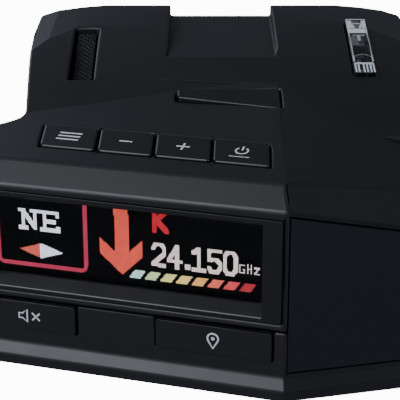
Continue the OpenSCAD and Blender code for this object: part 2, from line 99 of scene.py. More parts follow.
# ---------------------------------------------------------------- node helpers
class Wiring:
    """A node tree with short calls for making nodes and linking them."""

    def __init__(self, tree: bpy.types.NodeTree) -> None:
        """Keeps the tree that is wired."""
        self.tree = tree

    def add(self, kind: str, **settings: object) -> bpy.types.Node:
        """Adds a node.

        Args:
            kind: Blender's node type without the ShaderNode prefix.
            **settings: properties set on the node.

        Returns:
            The new node.
        """
        node = self.tree.nodes.new("ShaderNode" + kind)
        for key, value in settings.items():
            setattr(node, key, value)
        return node

    def link(self, out: bpy.types.NodeSocket, into: bpy.types.NodeSocket) -> None:
        """Joins an output to an input."""
        self.tree.links.new(out, into)

    def feed(self, slot: bpy.types.NodeSocket, value: object) -> None:
        """Links a socket into an input, or sets the input to a number or a colour."""
        if isinstance(value, bpy.types.NodeSocket):
            self.link(value, slot)
        else:
            slot.default_value = (*value, 1.0) if isinstance(value, tuple) else value

    def maths(self, operation: str, first: object, second: object = 0.5) -> bpy.types.NodeSocket:
        """Adds a Math node.

        Args:
            operation: the Math node's operation.
            first: a socket or a number.
            second: a socket or a number.

        Returns:
            The result socket.
        """
        node = self.add("Math", operation=operation)
        self.feed(node.inputs[0], first)
        self.feed(node.inputs[1], second)
        return node.outputs[0]

    def blend(self, mask: bpy.types.NodeSocket, low: object, high: object) -> bpy.types.NodeSocket:
        """Mixes two colours by a mask.

        Args:
            mask: a value socket, 0 to 1.
            low: colour or socket where the mask is 0.
            high: colour or socket where the mask is 1.

        Returns:
            The mixed colour socket.
        """
        node = self.add("Mix", data_type="RGBA")
        self.link(mask, node.inputs["Factor"])
        self.feed(node.inputs[6], low)
        self.feed(node.inputs[7], high)
        return node.outputs[2]

    def span(self, value: bpy.types.NodeSocket, low: float, high: float,
             to_low: float = 0.0, to_high: float = 1.0) -> bpy.types.NodeSocket:
        """Maps a range of values to another, clamped.

        Args:
            value: the socket that is mapped.
            low: input that gives to_low.
            high: input that gives to_high.
            to_low: lower result.
            to_high: upper result.

        Returns:
            The mapped socket.
        """
        node = self.add("MapRange")
        self.link(value, node.inputs[0])
        for slot, number in zip(node.inputs[1:5], (low, high, to_low, to_high)):
            slot.default_value = number
        return node.outputs[0]

    def noise(self, vector: bpy.types.NodeSocket, scale: object,
              detail: float = 2.0) -> bpy.types.NodeSocket:
        """Adds a noise texture.

        Args:
            vector: its coordinates.
            scale: its scale, as a socket or a number.
            detail: how many finer octaves it has.

        Returns:
            Its value socket.
        """
        node = self.add("TexNoise")
        for label, value in (("Vector", vector), ("Detail", detail), ("Scale", scale)):
            self.feed(node.inputs[label], value)
        return node.outputs[0]


def settle(node: bpy.types.Node, values: dict[str, object]) -> None:
    """Sets a node's own inputs by name."""
    for label, value in values.items():
        node.inputs[label].default_value = value


def open_group(name: str, inputs: dict[str, tuple[str, float]], outputs: tuple[str, ...]
               ) -> tuple[bpy.types.NodeTree, Wiring, bpy.types.Node, bpy.types.Node]:
    """Starts a shader node group.

    Args:
        name: the group's name.
        inputs: socket name to (socket type, default number).
        outputs: names of the float outputs.

    Returns:
        The group, its wiring, its input node and its output node.
    """
    group = bpy.data.node_groups.new(name, "ShaderNodeTree")
    for label, (kind, default) in inputs.items():
        socket = group.interface.new_socket(label, in_out="INPUT", socket_type=kind)
        if kind == "NodeSocketFloat":
            socket.default_value = default
    for label in outputs:
        group.interface.new_socket(label, in_out="OUTPUT", socket_type="NodeSocketFloat")
    wiring = Wiring(group)
    return group, wiring, group.nodes.new("NodeGroupInput"), group.nodes.new("NodeGroupOutput")


VECTOR, FLOAT = "NodeSocketVector", "NodeSocketFloat"


def make_grain_group() -> bpy.types.NodeTree:
    """Spark-eroded mould texture: fine rounded bumps and a slow mottle, on Object coordinates."""
    group, w, start, end = open_group(
        "moulded_grain", {"Vector": (VECTOR, 0.0), "Scale": (FLOAT, 2500.0)}, ("Height", "Mottle"))
    fine = w.noise(start.outputs["Vector"], start.outputs["Scale"], 3.0)
    cells = w.add("TexVoronoi", feature="SMOOTH_F1")
    w.link(start.outputs["Vector"], cells.inputs["Vector"])
    w.link(w.maths("MULTIPLY", start.outputs["Scale"], 0.8), cells.inputs["Scale"])
    share = (w.maths("MULTIPLY", fine, 0.6), w.maths("MULTIPLY", cells.outputs[0], 0.4))
    w.link(w.maths("ADD", *share), end.inputs["Height"])
    slow = w.noise(start.outputs["Vector"], w.maths("MULTIPLY", start.outputs["Scale"], 0.02), 4.0)
    w.link(w.span(slow, 0.35, 0.65), end.inputs["Mottle"])
    return group


def make_wear_group() -> bpy.types.NodeTree:
    """Rubbed edges: where the surface is pointed, broken up by noise."""
    group, w, start, end = open_group(
        "rubbed_edges", {"Vector": (VECTOR, 0.0), "Amount": (FLOAT, 0.5)}, ("Mask",))
    geometry = w.add("NewGeometry")
    edge = w.span(geometry.outputs["Pointiness"], 0.53, 0.62)
    patchy = w.span(w.noise(start.outputs["Vector"], 320.0, 5.0), 0.38, 0.62, 0.35, 1.0)
    rubbed = w.maths("MULTIPLY", edge, patchy)
    w.link(w.maths("MULTIPLY", rubbed, start.outputs["Amount"]), end.inputs["Mask"])
    return group


def make_smudge_group() -> bpy.types.NodeTree:
    """Finger smudges and haze: two slow noises multiplied, for roughness."""
    group, w, start, end = open_group(
        "handled_haze", {"Vector": (VECTOR, 0.0), "Scale": (FLOAT, 60.0)}, ("Mask",))
    broad = w.noise(start.outputs["Vector"], start.outputs["Scale"], 2.0)
    finer = w.maths("MULTIPLY", start.outputs["Scale"], 6.0)
    streak = w.noise(start.outputs["Vector"], finer, 6.0)
    w.link(w.span(w.maths("MULTIPLY", broad, streak), 0.18, 0.36), end.inputs["Mask"])
    return group


GROUPS: dict[str, bpy.types.NodeTree] = {}


def group_node(w: Wiring, name: str, vector: bpy.types.NodeSocket,
               **values: float) -> bpy.types.Node:
    """Places a shared group in a material.

    Args:
        w: the material's wiring.
        name: the group's name.
        vector: coordinates for its pattern.
        **values: numbers for its other inputs.

    Returns:
        The group node.
    """
    if not GROUPS:
        for group in (make_grain_group(), make_wear_group(), make_smudge_group()):
            GROUPS[group.name] = group
    node = w.add("Group", node_tree=GROUPS[name])
    w.link(vector, node.inputs["Vector"])
    settle(node, values)
    return node


def start_material(name: str) -> tuple[bpy.types.Material, Wiring, bpy.types.Node,
                                       bpy.types.NodeSocket]:
    """Starts a material.

    Args:
        name: the material's name.

    Returns:
        The material, its wiring, its Principled shader and its Object coordinates.
    """
    material = bpy.data.materials.new(name)
    material.use_nodes = True
    w = Wiring(material.node_tree)
    shader = material.node_tree.nodes["Principled BSDF"]
    return material, w, shader, w.add("TexCoord").outputs["Object"]


def bump(w: Wiring, shader: bpy.types.Node, height: bpy.types.NodeSocket, strength: float,
         distance: float) -> None:
    """Feeds a height into the shader's normal.

    Args:
        w: the material's wiring.
        shader: its Principled shader.
        height: the height socket.
        strength: strength of the bump.
        distance: full height of the bump in metres.
    """
    node = w.add("Bump")
    settle(node, {"Strength": strength, "Distance": distance})
    w.link(height, node.inputs["Height"])
    w.link(node.outputs["Normal"], shader.inputs["Normal"])


def shade(colour: Colour, by: float, lift: float = 0.0) -> Colour:
    """A colour made lighter or darker: each channel * by + lift."""
    return tuple(channel * by + lift for channel in colour)


# ---------------------------------------------------------------- finishes
@dataclass(frozen=True)
class MouldedPlastic:
    """Injection-moulded plastic with eroded grain, haze and rubbed edges."""

    name: str
    colour: Colour
    rough: float
    grain: float = 2600.0
    depth: float = 0.012
    specular: float = 0.5
    wear: float = 0.35
    lift: float = 1.22
    haze: float = 0.035
    haze_scale: float = 55.0
    rub: float = 2.2
    rub_floor: float = 0.004
    polish: float = 0.16

    def make(self) -> bpy.types.Material:
        """Builds the material."""
        material, w, shader, vector = start_material(self.name)
        grain = group_node(w, "moulded_grain", vector, Scale=self.grain)
        worn = group_node(w, "rubbed_edges", vector, Amount=self.wear)
        haze = group_node(w, "handled_haze", vector, Scale=self.haze_scale)
        rubbed = shade(self.colour, self.lift * self.rub, self.rub_floor)
        tone = w.blend(grain.outputs["Mottle"], self.colour, shade(self.colour, self.lift))
        w.link(w.blend(worn.outputs["Mask"], tone, rubbed), shader.inputs["Base Color"])
        rough = w.span(haze.outputs["Mask"], 0.0, 1.0, self.rough - self.haze * 0.4,
                       self.rough + self.haze * 0.6)
        polish = w.maths("MULTIPLY", worn.outputs["Mask"], self.polish)
        w.link(w.maths("SUBTRACT", rough, polish), shader.inputs["Roughness"])
        shader.inputs["Specular IOR Level"].default_value = self.specular
        bump(w, shader, grain.outputs["Height"], 0.5, self.depth * MM)
        return material


@dataclass(frozen=True)
class GlossPanel:
    """Polished dark plastic under a clear coat, with faint haze and orange peel."""

    name: str
    colour: Colour
    rough: float = 0.12
    specular: float = 0.35
    coat: float = 0.3
    coat_rough: float = 0.08
    haze: float = 0.12

    def make(self) -> bpy.types.Material:
        """Builds the material."""
        material, w, shader, vector = start_material(self.name)
        haze = group_node(w, "handled_haze", vector, Scale=70.0)
        grain = group_node(w, "moulded_grain", vector, Scale=420.0)
        w.link(w.blend(grain.outputs["Mottle"], shade(self.colour, 0.6), self.colour),
               shader.inputs["Base Color"])
        w.link(w.span(haze.outputs["Mask"], 0.0, 1.0, self.rough, self.rough + self.haze),
               shader.inputs["Roughness"])
        settle(shader, {"Specular IOR Level": self.specular, "Coat Weight": self.coat,
                        "Coat Roughness": self.coat_rough})
        bump(w, shader, grain.outputs["Height"], 0.08, 0.01 * MM)
        return material


@dataclass(frozen=True)
class ClearPlastic:
    """Transparent moulded plastic, tinted, with faint haze on its faces."""

    name: str
    tint: Colour
    rough: float = 0.03
    ior: float = 1.49
    haze: float = 0.05

    def make(self) -> bpy.types.Material:
        """Builds the material."""
        material, w, shader, vector = start_material(self.name)
        haze = group_node(w, "handled_haze", vector, Scale=90.0)
        grain = group_node(w, "moulded_grain", vector, Scale=600.0)
        w.link(w.blend(grain.outputs["Mottle"], shade(self.tint, 0.9), self.tint),
               shader.inputs["Base Color"])
        w.link(w.span(haze.outputs["Mask"], 0.0, 1.0, self.rough, self.rough + self.haze),
               shader.inputs["Roughness"])
        settle(shader, {"IOR": self.ior, "Transmission Weight": 1.0})
        return material


@dataclass(frozen=True)
class SheetMetal:
    """Stamped, plated or cast metal with brushing along one axis and dull patches."""

    name: str
    colour: Colour
    rough: float = 0.3
    stretch: tuple[float, float, float] = (1.0, 14.0, 1.0)
    scale: float = 260.0

    def make(self) -> bpy.types.Material:
        """Builds the material."""
        material, w, shader, vector = start_material(self.name)
        mapping = w.add("Mapping")
        settle(mapping, {"Scale": self.stretch})
        w.link(vector, mapping.inputs["Vector"])
        brushed = w.noise(mapping.outputs["Vector"], self.scale, 4.0)
        haze = group_node(w, "handled_haze", vector, Scale=110.0)
        w.link(w.blend(haze.outputs["Mask"], self.colour, shade(self.colour, 0.62)),
               shader.inputs["Base Color"])
        w.link(w.span(brushed, 0.3, 0.7, self.rough - 0.08, self.rough + 0.14),
               shader.inputs["Roughness"])
        settle(shader, {"Metallic": 1.0})
        bump(w, shader, brushed, 0.15, 0.01 * MM)
        return material


@dataclass(frozen=True)
class CircuitLaminate:
    """Solder-masked laminate: copper tracks show as raised lines under the lacquer."""

    name: str
    mask: Colour
    track: Colour
    pitch: float = 420.0
    track_width: float = 0.045

    def make(self) -> bpy.types.Material:
        """Builds the material."""
        material, w, shader, vector = start_material(self.name)
        lanes = w.add("TexBrick", offset=0.37, squash=0.7)
        w.link(vector, lanes.inputs["Vector"])
        settle(lanes, {"Scale": self.pitch, "Mortar Size": self.track_width,
                       "Color1": (0, 0, 0, 1), "Color2": (0, 0, 0, 1), "Mortar": (1, 1, 1, 1)})
        pads = w.add("TexVoronoi")
        w.link(vector, pads.inputs["Vector"])
        settle(pads, {"Scale": self.pitch * 1.3})
        pad = w.span(pads.outputs[0], 0.16, 0.12)
        copper = w.maths("MAXIMUM", lanes.outputs["Color"], pad)
        w.link(w.blend(copper, self.mask, self.track), shader.inputs["Base Color"])
        w.link(w.span(copper, 0.0, 1.0, 0.34, 0.24), shader.inputs["Roughness"])
        bump(w, shader, copper, 0.4, 0.03 * MM)
        return material


@dataclass(frozen=True)
class PrintedInk:
    """Screen-printed ink, slightly uneven in density."""

    name: str
    colour: Colour
    rough: float = 0.45

    def make(self) -> bpy.types.Material:
        """Builds the material."""
        material, w, shader, vector = start_material(self.name)
        grain = group_node(w, "moulded_grain", vector, Scale=5200.0)
        w.link(w.blend(grain.outputs["Height"], shade(self.colour, 0.8), self.colour),
               shader.inputs["Base Color"])
        w.link(w.span(grain.outputs["Mottle"], 0.0, 1.0, self.rough - 0.05, self.rough + 0.08),
               shader.inputs["Roughness"])
        return material


@dataclass(frozen=True)
class LitCells:
    """Glowing display cells: the colour of each cell is in the mesh's glow attribute."""

    name: str
    strength: float

    def make(self) -> bpy.types.Material:
        """Builds the material."""
        material, w, shader, vector = start_material(self.name)
        glow = w.add("Attribute", attribute_name="glow")
        uneven = w.span(w.noise(vector, 900.0, 2.0), 0.3, 0.7, 0.0, 1.0)
        dim = w.blend(uneven, (0.86, 0.86, 0.86), (1.0, 1.0, 1.0))
        product = w.add("Mix", data_type="RGBA", blend_type="MULTIPLY")
        settle(product, {"Factor": 1.0})
        w.link(glow.outputs["Color"], product.inputs[6])
        w.link(dim, product.inputs[7])
        w.link(product.outputs[2], shader.inputs["Emission Color"])
        w.link(product.outputs[2], shader.inputs["Base Color"])
        settle(shader, {"Emission Strength": self.strength, "Roughness": 0.6,
                        "Specular IOR Level": 0.1})
        return material


@dataclass(frozen=True)
class FoilLabel:
    """Satin label stock with thin printed lines between blank rows, on Object coordinates."""

    name: str
    paper: Colour
    ink: Colour

    def make(self) -> bpy.types.Material:
        """Builds the material."""
        material, w, shader, vector = start_material(self.name)
        rows = w.add("TexWave", wave_type="BANDS", bands_direction="Y", wave_profile="SIN")
        w.link(vector, rows.inputs["Vector"])
        settle(rows, {"Scale": 48.0})
        row = w.span(rows.outputs["Fac"], 0.93, 0.97)
        grain = group_node(w, "moulded_grain", vector, Scale=1800.0)
        w.link(w.blend(row, self.paper, self.ink), shader.inputs["Base Color"])
        w.link(w.span(grain.outputs["Mottle"], 0.0, 1.0, 0.32, 0.48), shader.inputs["Roughness"])
        bump(w, shader, grain.outputs["Height"], 0.2, 0.01 * MM)
        return material


CASE = MouldedPlastic("case_satin_black", (0.0085, 0.0085, 0.0105), 0.42)
CASE_LOWER = MouldedPlastic("case_lower_black", (0.0080, 0.0080, 0.0100), 0.44)
KEYCAP = MouldedPlastic("key_satin_black", (0.0070, 0.0070, 0.0085), 0.34, grain=3600.0,
                        depth=0.006)
BEZEL = MouldedPlastic("bezel_black", (0.0055, 0.0055, 0.0065), 0.30, grain=4200.0, depth=0.004)
PANEL = GlossPanel("side_panel_gloss", (0.006, 0.009, 0.012))
WINDOW = ClearPlastic("display_smoke", (0.80, 0.80, 0.84), 0.02, 1.20)
CLEAR = ClearPlastic("lens_water_clear", (0.93, 0.95, 0.97), 0.04)
FROST = PrintedInk("lens_frosted_white", (0.80, 0.83, 0.87), 0.28)
RUBY = ClearPlastic("lens_dark_red", (0.32, 0.012, 0.016), 0.05)
SCREEN = GlossPanel("screen_black", (0.0006, 0.0006, 0.0010), 0.3, 0.04, 0.0)
GRILLE = MouldedPlastic("grille_black", (0.012, 0.012, 0.014), 0.45, grain=5000.0, depth=0.006)
INNER = MouldedPlastic("inner_black", (0.014, 0.014, 0.015), 0.55, grain=1800.0)
CHIP = MouldedPlastic("chip_epoxy", (0.012, 0.012, 0.013), 0.5, grain=4200.0, depth=0.008)
CONE = MouldedPlastic("cone_paper", (0.018, 0.017, 0.016), 0.85, grain=1500.0, depth=0.03,
                      specular=0.2)
BOARD = CircuitLaminate("board_green", (0.006, 0.060, 0.024), (0.022, 0.150, 0.060))
STEEL = SheetMetal("zinc_steel", (0.56, 0.56, 0.58), 0.32)
HORN = SheetMetal("cast_zinc", (0.62, 0.62, 0.64), 0.42, (1.0, 1.0, 1.0), 900.0)
MAGNET = SheetMetal("magnet_nickel", (0.50, 0.49, 0.47), 0.25)
SWITCH = SheetMetal("switch_tin", (0.60, 0.59, 0.56), 0.36)
SCREW = SheetMetal("screw_black_zinc", (0.16, 0.16, 0.17), 0.35)
CERAMIC = MouldedPlastic("patch_ceramic", (0.52, 0.44, 0.30), 0.6, grain=1600.0, wear=0.1,
                         lift=1.15)
RIBBON = GlossPanel("ribbon_amber", (0.42, 0.19, 0.035), 0.28, 0.4, 0.1)
INK = PrintedInk("legend_white", (0.86, 0.86, 0.88))
CELLS = LitCells("display_cells", 2.0)
LABEL = FoilLabel("underside_foil", (0.30, 0.30, 0.31), (0.05, 0.05, 0.055))

MATERIALS: dict[str, bpy.types.Material] = {}
Finish = (MouldedPlastic | GlossPanel | ClearPlastic | SheetMetal | CircuitLaminate | PrintedInk
          | LitCells | FoilLabel)


def finish_of(finish: Finish) -> bpy.types.Material:
    """Gives a finish's material, made once."""
    if finish.name not in MATERIALS:
        MATERIALS[finish.name] = finish.make()
    return MATERIALS[finish.name]


def paint(piece: bpy.types.Object, finish: Finish) -> None:
    """Puts one finish on a whole piece."""
    piece.data.materials.clear()
    piece.data.materials.append(finish_of(finish))


# ---------------------------------------------------------------- mesh helpers
WELD = 3e-6
FLAT_LIMITS = (1.2, 0.3, 0.05, 0.0)
AREA_SLACK = 4e-4
CREASE, UPRIGHT_CREASE, UPRIGHT = 9.0, 24.0, 0.9
BEVEL_ANGLE, BEVEL_STEPS, FLAT_WEIGHT = 26.0, 3, 90


def piece_from(name: str, points: np.ndarray, faces: np.ndarray | list,
               smooth: bool = True) -> bpy.types.Object:
    """Makes a piece from arrays.

    Args:
        name: the piece's name.
        points: (N, 3) points in metres.
        faces: rows of point numbers.
        smooth: whether its faces are shaded smooth.

    Returns:
        The new object, at the origin.
    """
    mesh = bpy.data.meshes.new(name)
    rows = faces.tolist() if isinstance(faces, np.ndarray) else faces
    mesh.from_pydata(np.asarray(points, float).reshape(-1, 3).tolist(), [], rows)
    mesh.polygons.foreach_set("use_smooth", np.full(len(mesh.polygons), smooth))
    mesh.update()
    piece = bpy.data.objects.new(name, mesh)
    bpy.context.scene.collection.objects.link(piece)
    return piece


def outward(piece: bpy.types.Object) -> None:
    """Welds a piece's doubles and turns its faces outward."""
    form = bmesh.new()
    form.from_mesh(piece.data)
    bmesh.ops.remove_doubles(form, verts=form.verts, dist=1e-7)
    bmesh.ops.recalc_face_normals(form, faces=form.faces)
    form.to_mesh(piece.data)
    form.free()


def tube_faces(count: int, rings: int, sides: int) -> np.ndarray:
    """Faces of several closed-section tubes.

    Point number = (tube * rings + ring) * sides + side, and each face joins two
    neighbouring sides of two neighbouring rings.

    Args:
        count: number of tubes.
        rings: rings in each tube.
        sides: points in each ring.

    Returns:
        (faces, 4) point numbers.
    """
    tube, ring, side = np.meshgrid(np.arange(count), np.arange(rings - 1), np.arange(sides),
                                   indexing="ij")
    here = (tube * rings + ring) * sides
    after = (side + 1) % sides
    corners = [here + side, here + after, here + sides + after, here + sides + side]
    return np.stack(corners, -1).reshape(-1, 4)


def tubes(name: str, paths: np.ndarray, radius: float, sides: int = 6) -> bpy.types.Object:
    """Round wires along given paths.

    A ring's points are centre + radius * (cos a * across + sin a * above), where across
    and above are square to the path's direction.

    Args:
        name: the piece's name.
        paths: (tubes, rings, 3) centre lines.
        radius: wire radius.
        sides: points round each wire.

    Returns:
        One piece with every wire, their ends closed.
    """
    count, rings, _ = paths.shape
    along = np.gradient(paths, axis=1)
    along /= np.linalg.norm(along, axis=2, keepdims=True)
    up = np.array([0.0, 0.0, 1.0]) + 0.001 * np.array([1.0, 2.0, 0.0])
    across = np.cross(along, up)
    across /= np.linalg.norm(across, axis=2, keepdims=True)
    above = np.cross(across, along)
    angle = np.linspace(0.0, 2 * math.pi, sides, endpoint=False)[None, None, :, None]
    ring = np.cos(angle) * across[:, :, None] + np.sin(angle) * above[:, :, None]
    points = paths[:, :, None] + radius * ring
    faces = tube_faces(count, rings, sides).tolist()
    firsts = np.arange(count)[:, None] * rings * sides + np.arange(sides)[None]
    faces += firsts[:, ::-1].tolist() + (firsts + (rings - 1) * sides).tolist()
    piece = piece_from(name, points, faces)
    outward(piece)
    return piece


def round_edges(piece: bpy.types.Object, width: float) -> None:
    """Breaks a piece's edges with a live bevel and keeps its flats flat.

    Args:
        piece: the piece.
        width: bevel width in metres.
    """
    bevel = piece.modifiers.new("broken_edges", "BEVEL")
    bevel.width = width
    bevel.segments = BEVEL_STEPS
    bevel.limit_method = "ANGLE"
    bevel.angle_limit = math.radians(BEVEL_ANGLE)
    bevel.use_clamp_overlap = False
    bevel.miter_outer = "MITER_ARC"
    flats = piece.modifiers.new("flat_faces", "WEIGHTED_NORMAL")
    flats.weight = FLAT_WEIGHT
    flats.keep_sharp = True


def welded(mesh: bpy.types.Mesh) -> bmesh.types.BMesh:
    """Welds a triangle mesh and clears its flats of slivers.

    The flats are cleared at a coarse angle first. The area of all triangles has to equal
    the area before, or the mesh is started again with the next finer angle.

    Args:
        mesh: the mesh as it comes from CAD.

    Returns:
        The welded form, in triangles; the caller frees it.
    """
    for limit in FLAT_LIMITS:
        form = bmesh.new()
        form.from_mesh(mesh)
        bmesh.ops.remove_doubles(form, verts=form.verts, dist=WELD)
        bmesh.ops.dissolve_degenerate(form, edges=form.edges, dist=WELD)
        before = sum(face.calc_area() for face in form.faces)
        if limit > 0.0:
            bmesh.ops.dissolve_limit(form, angle_limit=math.radians(limit), verts=form.verts,
                                     edges=form.edges, use_dissolve_boundaries=False,
                                     delimit=set())
            bmesh.ops.triangulate(form, faces=form.faces, quad_method="BEAUTY",
                                  ngon_method="BEAUTY")
        after = sum(face.calc_area() for face in form.faces)
        if abs(after - before) < AREA_SLACK * before:
            break
        form.free()
    LOG.info("%s: flats cleared at %.2f degrees", mesh.name, limit)
    return form


def softened(node: str, name: str, edge: Edge, finish: Finish) -> bpy.types.Object:
    """Makes a piece from a CAD node: welded, its creases marked, its edges broken, dressed.

    An edge is shaded sharp where its faces turn by more than CREASE degrees, or by more
    than UPRIGHT_CREASE along an upright edge, so that rounded corners stay smooth.

    Args:
        node: the CAD node the piece stands for.
        name: the piece's name.
        edge: how strongly its edges are broken.
        finish: its finish.

    Returns:
        The piece, riding on the node's body in the node's place.
    """
    source = frame["nodes"][node]
    mesh = source.data.copy()
    mesh.name = name
    form = welded(mesh)
    for edge_line in form.edges:
        turn = math.degrees(edge_line.calc_face_angle(0.0))
        run = edge_line.verts[0].co - edge_line.verts[1].co
        upright = abs(run.z) > UPRIGHT * run.length
        edge_line.smooth = turn < (UPRIGHT_CREASE if upright else CREASE)
    form.to_mesh(mesh)
    form.free()
    mesh.polygons.foreach_set("use_smooth", np.ones(len(mesh.polygons), bool))
    piece = bpy.data.objects.new(name, mesh)
    bpy.context.scene.collection.objects.link(piece)
    round_edges(piece, edge.value)
    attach(piece, source["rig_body"])
    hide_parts(node)
    paint(piece, finish)
    report(piece)
    return piece


def report(piece: bpy.types.Object) -> None:
    """Logs a finished piece."""
    LOG.info("%s: %d faces", piece.name, len(piece.data.polygons))


# ---------------------------------------------------------------- working planes
APEX = np.array([7.5, -56.0, 0.0]) * MM
FACE_TURN = math.radians(16.1)
ALONG_FACE = np.array([math.cos(FACE_TURN), -math.sin(FACE_TURN), 0.0])
TOP_BAND = 2.2 * MM


@dataclass(frozen=True)
class Plane:
    """A flat working plane: its origin, its two directions and its outward normal."""

    origin: np.ndarray
    across: np.ndarray
    up: np.ndarray
    out: np.ndarray

    def place(self, flat: np.ndarray, height: object = 0.0) -> np.ndarray:
        """Point = origin + first * across + second * up + height * out.

        Args:
            flat: (..., 2) plane coordinates in metres.
            height: distance out of the plane in metres.

        Returns:
            (..., 3) points.
        """
        return (self.origin + flat[..., :1] * self.across + flat[..., 1:2] * self.up
                + np.asarray(height)[..., None] * self.out)


def rear_plane(inward: float) -> Plane:
    """The upright display face, moved inward by a distance; across runs along the face."""
    depth = np.array([math.sin(FACE_TURN), math.cos(FACE_TURN), 0.0])
    return Plane(APEX + depth * inward, ALONG_FACE, np.array([0.0, 0.0, 1.0]), -depth)


def top_plane(node: str, lean: float = 0.9) -> Plane:
    """The upper face of a CAD node.

    Its origin and normal are the means of the node's upward faces within TOP_BAND of the
    highest one, weighted by area.

    Args:
        node: the CAD node.
        lean: least upward part of a face's normal.

    Returns:
        The plane; across runs along the display face as nearly as the face allows.
    """
    mesh = frame["nodes"][node].data
    count = len(mesh.polygons)
    normals, centres, areas = np.empty(count * 3), np.empty(count * 3), np.empty(count)
    mesh.polygons.foreach_get("normal", normals)
    mesh.polygons.foreach_get("center", centres)
    mesh.polygons.foreach_get("area", areas)
    normals, centres = normals.reshape(-1, 3), centres.reshape(-1, 3)
    high = (normals[:, 2] > lean) & (centres[:, 2] > centres[:, 2].max() - TOP_BAND)
    weight = areas[high][:, None] / areas[high].sum()
    out = (normals[high] * weight).sum(0)
    out /= np.linalg.norm(out)
    across = ALONG_FACE - out * (ALONG_FACE @ out)
    across /= np.linalg.norm(across)
    return Plane((centres[high] * weight).sum(0), across, np.cross(out, across), out)


# ---------------------------------------------------------------- printed pictograms
class Stroke:
    """One printed line of constant width along a path in a plane."""

    def __init__(self, points: list[tuple[float, float]], width: float,
                 closed: bool = False) -> None:
        """Keeps the path in millimetres and its width.

        Args:
            points: path points.
            width: line width.
            closed: whether the path joins its start.
        """
        self.points = np.array(points, float) * MM
        self.width = width * MM
        self.closed = closed

    def outline(self) -> tuple[np.ndarray, list[list[int]]]:
        """Ribbon = path +- half width * left-hand normal, with one quad between neighbours.

        Returns:
            (N, 2) points and the quads that join them.
        """
        path = np.vstack([self.points, self.points[:1]]) if self.closed else self.points
        along = np.gradient(path, axis=0)
        if self.closed:
            along[0] = along[-1] = path[1] - path[-2]
        along /= np.linalg.norm(along, axis=1, keepdims=True)
        left = np.stack([-along[:, 1], along[:, 0]], -1) * self.width / 2
        points = np.concatenate([path + left, path - left])
        count = len(path)
        quads = [[i + count, i + count + 1, i + 1, i] for i in range(count - 1)]
        return points, quads


def arc(radius: float, start: float, stop: float, steps: int, height: float
        ) -> list[tuple[float, float]]:
    """Points of a circle arc: (radius * cos a, height + radius * sin a).

    Args:
        radius: the arc's radius.
        start: its first angle in degrees.
        stop: its last angle in degrees.
        steps: number of points.
        height: how far its middle stands above the origin.

    Returns:
        The points.
    """
    angle = np.radians(np.linspace(start, stop, steps))
    return list(zip(radius * np.cos(angle), height + radius * np.sin(angle)))


INK_RISE, INK_ROOT = 0.02 * MM, -0.01 * MM


def print_strokes(name: str, plane: Plane, strokes: list[Stroke], body: str,
                  finish: Finish = INK) -> None:
    """Prints a pictogram on a plane, INK_RISE proud, and lets it ride.

    Args:
        name: the piece's name.
        plane: where it is printed.
        strokes: its lines.
        body: the body it rides on.
        finish: its finish.
    """
    points: list[np.ndarray] = []
    faces: list[list[int]] = []
    shift = 0
    for stroke in strokes:
        flat, quads = stroke.outline()
        count = len(flat)
        points += [plane.place(flat, INK_RISE), plane.place(flat, INK_ROOT)]
        faces += [[i + shift for i in quad] for quad in quads]
        faces += [[i + shift + count for i in quad[::-1]] for quad in quads]
        half = count // 2
        rim = list(range(half)) + list(range(count - 1, half - 1, -1))
        for i, j in zip(rim, rim[1:] + rim[:1]):
            faces.append([i + shift, j + shift, j + shift + count, i + shift + count])
        shift += 2 * count
    piece = piece_from(name, np.concatenate(points), faces, smooth=False)
    outward(piece)
    paint(piece, finish)
    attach(piece, body)
    report(piece)


# ---------------------------------------------------------------- sub-assemblies
@dataclass
class CaseShells:
    """The two moulded halves of the case."""

    upper_edge: Edge = Edge.CASE
    lower_edge: Edge = Edge.LOWER_CASE

    def build(self) -> None:
        """Builds both shells with broken edges."""
        softened("top_cover", "upper_shell", self.upper_edge, CASE)
        softened("bottom_cover", "lower_shell", self.lower_edge, CASE_LOWER)


@dataclass
class DeckKeys:
    """The four keys on the rear deck and what is printed on them."""

    line: float = 0.26
    bar_reach: float = 1.5625
    bar_gap: float = 0.85
    arm_reach: float = 0.9

    def build(self) -> None:
        """Builds the caps and their pictograms."""
        for node, body in (("menu_button", "menu_key"), ("minus_button", "minus_key"),
                           ("plus_button", "plus_key"), ("power_button", "power_key")):
            softened(node, node.replace("button", "keycap"), Edge.KEY, KEYCAP)
            print_strokes(body + "_legend", top_plane(node), self.legend(node), body)

    def legend(self, node: str) -> list[Stroke]:
        """The strokes of a key's pictogram, in millimetres about the key's centre.

        Args:
            node: the key's CAD node.

        Returns:
            The strokes.
        """
        bar, arm = self.bar_reach, self.arm_reach
        level = Stroke([(-arm, 0.0), (arm, 0.0)], self.line)
        if node == "menu_button":
            return [Stroke([(-bar, z), (bar, z)], self.line * 1.1)
                    for z in (-self.bar_gap, 0.0, self.bar_gap)]
        if node == "minus_button":
            return [level]
        if node == "plus_button":
            return [level, Stroke([(0.0, -arm), (0.0, arm)], self.line)]
        return [Stroke(arc(0.82, 128, 412, 34, 0.25), self.line * 0.8),
                Stroke([(0.0, 0.35), (0.0, 1.4)], self.line * 0.8),
                Stroke([(-1.35, -1.35), (1.35, -1.35)], self.line * 0.5)]


